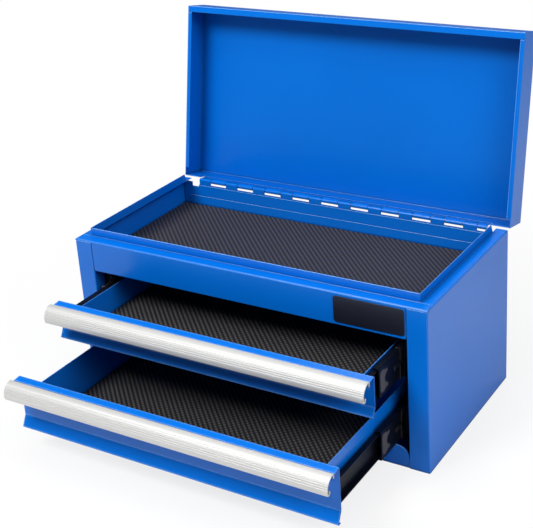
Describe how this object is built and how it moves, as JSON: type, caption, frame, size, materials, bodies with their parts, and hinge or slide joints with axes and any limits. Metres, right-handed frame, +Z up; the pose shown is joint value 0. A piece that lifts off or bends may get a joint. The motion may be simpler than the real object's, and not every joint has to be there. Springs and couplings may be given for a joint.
{
  "type": "portable tool box with drawers",
  "caption": "Rectangular steel tool box: a hinged lid over a shallow lined tray, with sliding drawers on telescoping ball slides below, each with a full-width pull.",
  "frame": {"origin": "centre of the underside of the floor, on the surface it stands on", "axes": "+Z up, -Y towards the drawer fronts, +X towards the right side panel; the lid stands open and both drawers part way out"},
  "size_m": [0.511, 0.5279, 0.4618],
  "materials": {
    "cabinet_paint": "semi-gloss blue powder coat",
    "liner": "embossed non-slip liner",
    "nameplate": "bare satin black plate",
    "pull_aluminium": "satin anodised, ribbed lengthwise",
    "black_steel": "black electrophoretic coat",
    "bare_steel": "zinc plated",
    "bronze_stop": "moulded grey-bronze nylon",
    "bumper": "moulded black plastic"
  },
  "bodies": {
    "cabinet": {"left_side_panel": "cabinet_paint", "right_side_panel": "cabinet_paint", "rear_panel": "cabinet_paint", "bottom_panel": "cabinet_paint", "top_front_rail": "cabinet_paint", "tray_pan": "cabinet_paint", "tray_liner": "liner", "nameplate": "nameplate", "left_slide_uprights": "black_steel", "right_slide_uprights": "black_steel", "hinge_body_leaf": "cabinet_paint", "hinge_pin": "bare_steel", "upper_left_cabinet_member": "black_steel", "upper_right_cabinet_member": "black_steel", "lower_left_cabinet_member": "black_steel", "lower_right_cabinet_member": "black_steel", "slide_bumpers": "bumper", "cabinet_slide_screws": "bare_steel"},
    "lid": {"lid_shell": "cabinet_paint", "hinge_lid_leaf": "cabinet_paint"},
    "upper_drawer": {"upper_drawer_pan": "cabinet_paint", "upper_drawer_front": "cabinet_paint", "upper_drawer_pull": "pull_aluminium", "upper_drawer_liner": "liner", "upper_left_drawer_member": "black_steel", "upper_right_drawer_member": "black_steel", "upper_drawer_screws": "bare_steel"},
    "upper_left_middle": {"upper_left_middle_member": "black_steel", "upper_left_fork_stop": "bronze_stop"},
    "upper_left_outer_cage_body": {"upper_left_outer_cage": "bare_steel"},
    "upper_left_inner_cage_body": {"upper_left_inner_cage": "bare_steel"},
    "upper_right_middle": {"upper_right_middle_member": "black_steel", "upper_right_fork_stop": "bronze_stop"},
    "upper_right_outer_cage_body": {"upper_right_outer_cage": "bare_steel"},
    "upper_right_inner_cage_body": {"upper_right_inner_cage": "bare_steel"},
    "lower_drawer": {"lower_drawer_pan": "cabinet_paint", "lower_drawer_front": "cabinet_paint", "lower_drawer_pull": "pull_aluminium", "lower_drawer_liner": "liner", "lower_left_drawer_member": "black_steel", "lower_right_drawer_member": "black_steel", "lower_drawer_screws": "bare_steel"},
    "lower_left_middle": {"lower_left_middle_member": "black_steel", "lower_left_fork_stop": "bronze_stop"},
    "lower_left_outer_cage_body": {"lower_left_outer_cage": "bare_steel"},
    "lower_left_inner_cage_body": {"lower_left_inner_cage": "bare_steel"},
    "lower_right_middle": {"lower_right_middle_member": "black_steel", "lower_right_fork_stop": "bronze_stop"},
    "lower_right_outer_cage_body": {"lower_right_outer_cage": "bare_steel"},
    "lower_right_inner_cage_body": {"lower_right_inner_cage": "bare_steel"}
  },
  "joints": [
    {"name": "lid_hinge", "type": "hinge", "parent": "cabinet", "child": "lid", "pos_m": [0, 0.1261, 0.2135], "axis": [1, 0, 0], "range_deg": [0, 100.5]},
    {"name": "upper_left_middle_slide", "type": "slide", "parent": "cabinet", "child": "upper_left_middle", "axis": [0, -1, 0], "range_m": [-0.087, 0.003]},
    {"name": "upper_right_middle_slide", "type": "slide", "parent": "cabinet", "child": "upper_right_middle", "axis": [0, -1, 0], "range_m": [-0.06201, 0.00215]},
    {"name": "upper_drawer_slide", "type": "slide", "parent": "upper_left_middle", "child": "upper_drawer", "axis": [0, -1, 0], "range_m": [0, 0.087]},
    {"name": "upper_left_outer_cage_slide", "type": "slide", "parent": "cabinet", "child": "upper_left_outer_cage_body", "axis": [0, -1, 0], "range_m": [-0.04351, 0.00151]},
    {"name": "upper_left_inner_cage_slide", "type": "slide", "parent": "upper_left_middle", "child": "upper_left_inner_cage_body", "axis": [0, -1, 0], "range_m": [-0.00001, 0.04351]},
    {"name": "upper_right_outer_cage_slide", "type": "slide", "parent": "cabinet", "child": "upper_right_outer_cage_body", "axis": [0, -1, 0], "range_m": [-0.03101, 0.00108]},
    {"name": "upper_right_inner_cage_slide", "type": "slide", "parent": "upper_right_middle", "child": "upper_right_inner_cage_body", "axis": [0, -1, 0], "range_m": [-0.00001, 0.04351]},
    {"name": "lower_left_middle_slide", "type": "slide", "parent": "cabinet", "child": "lower_left_middle", "axis": [0, -1, 0], "range_m": [-0.062, 0.028]},
    {"name": "lower_right_middle_slide", "type": "slide", "parent": "cabinet", "child": "lower_right_middle", "axis": [0, -1, 0], "range_m": [-0.06201, 0.02801]},
    {"name": "lower_drawer_slide", "type": "slide", "parent": "lower_left_middle", "child": "lower_drawer", "axis": [0, -1, 0], "range_m": [-0.111, 0.002]},
    {"name": "lower_left_outer_cage_slide", "type": "slide", "parent": "cabinet", "child": "lower_left_outer_cage_body", "axis": [0, -1, 0], "range_m": [-0.03101, 0.01401]},
    {"name": "lower_left_inner_cage_slide", "type": "slide", "parent": "lower_left_middle", "child": "lower_left_inner_cage_body", "axis": [0, -1, 0], "range_m": [-0.05551, 0.00101]},
    {"name": "lower_right_outer_cage_slide", "type": "slide", "parent": "cabinet", "child": "lower_right_outer_cage_body", "axis": [0, -1, 0], "range_m": [-0.03101, 0.01401]},
    {"name": "lower_right_inner_cage_slide", "type": "slide", "parent": "lower_right_middle", "child": "lower_right_inner_cage_body", "axis": [0, -1, 0], "range_m": [-0.05551, 0.00101]}
  ],
  "couplings": [
    {"joint": "upper_right_middle_slide", "follows": "upper_left_middle_slide", "ratio": 0.71264},
    {"joint": "upper_left_outer_cage_slide", "follows": "upper_left_middle_slide", "ratio": 0.5},
    {"joint": "upper_left_inner_cage_slide", "follows": "upper_drawer_slide", "ratio": 0.5},
    {"joint": "upper_right_outer_cage_slide", "follows": "upper_left_middle_slide", "ratio": 0.35632},
    {"joint": "upper_right_inner_cage_slide", "follows": "upper_drawer_slide", "ratio": 0.5},
    {"joint": "lower_right_middle_slide", "follows": "lower_left_middle_slide", "ratio": 1},
    {"joint": "lower_left_outer_cage_slide", "follows": "lower_left_middle_slide", "ratio": 0.5},
    {"joint": "lower_left_inner_cage_slide", "follows": "lower_drawer_slide", "ratio": 0.5},
    {"joint": "lower_right_outer_cage_slide", "follows": "lower_left_middle_slide", "ratio": 0.5},
    {"joint": "lower_right_inner_cage_slide", "follows": "lower_drawer_slide", "ratio": 0.5}
  ]
}
